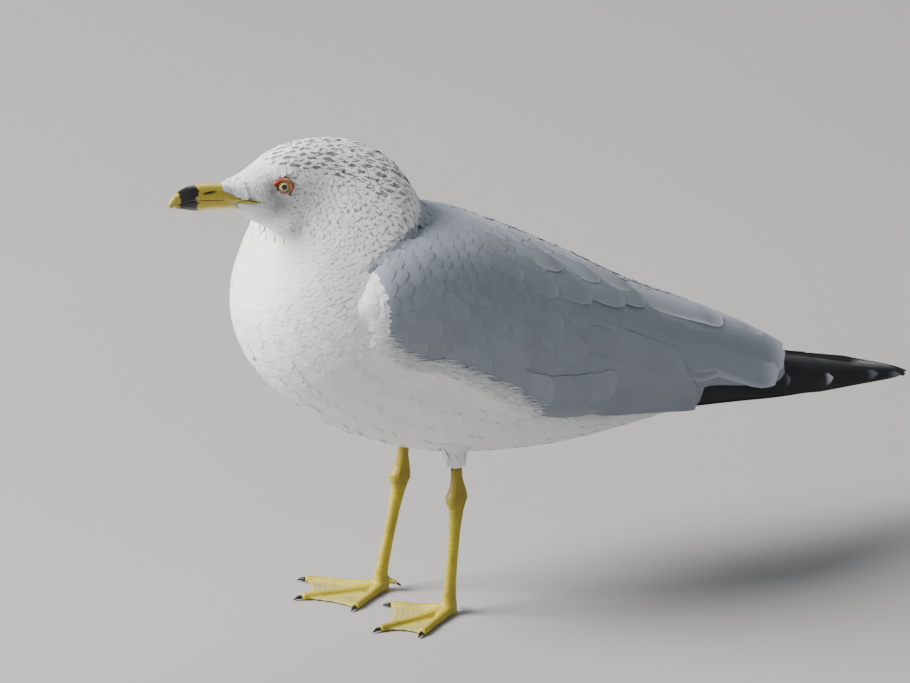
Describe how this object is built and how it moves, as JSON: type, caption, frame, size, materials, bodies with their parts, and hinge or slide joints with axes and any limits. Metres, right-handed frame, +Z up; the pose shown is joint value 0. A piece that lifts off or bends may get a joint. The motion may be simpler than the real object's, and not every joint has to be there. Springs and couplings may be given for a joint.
{
  "type": "ring-billed gull, standing, winter plumage",
  "caption": "Life-size still model of a gull standing on both webbed feet with wings folded, head slightly turned, in grey, white and black winter plumage.",
  "frame": {"origin": "middle of the underside of the bounding box, on the floor", "axes": "+Z up; -Y the way the bird faces; +X its left side"},
  "size_m": [0.1186, 0.4572, 0.2598],
  "materials": {
    "white_plumage": "soft matt feathers, white with brown-grey streaks on the crown and nape",
    "grey_plumage": "soft matt feathers, pale bluish grey with paler edges",
    "black_plumage": "smooth flight feathers, black with white tips",
    "bill_horn": "satin horn, greenish yellow with a black band near the tip",
    "eye": "wet gloss, pale yellow iris with a black pupil and a red ring",
    "leg_skin": "scaly satin skin, yellow with an olive tinge",
    "claw_horn": "satin black horn"
  },
  "bodies": {
    "root": {"head": "white_plumage", "neck": "white_plumage", "trunk": "white_plumage", "tail": "white_plumage", "bill_upper": "bill_horn", "bill_lower": "bill_horn", "wing_left": "grey_plumage", "primaries_left": "black_plumage", "eye_left": "eye", "thigh_left": "white_plumage", "tibia_left": "leg_skin", "tarsus_left": "leg_skin", "foot_left": "leg_skin", "claw_inner_left": "claw_horn", "claw_middle_left": "claw_horn", "claw_outer_left": "claw_horn", "claw_hind_left": "claw_horn", "wing_right": "grey_plumage", "primaries_right": "black_plumage", "eye_right": "eye", "thigh_right": "white_plumage", "tibia_right": "leg_skin", "tarsus_right": "leg_skin", "foot_right": "leg_skin", "claw_inner_right": "claw_horn", "claw_middle_right": "claw_horn", "claw_outer_right": "claw_horn", "claw_hind_right": "claw_horn"}
  },
  "joints": []
}
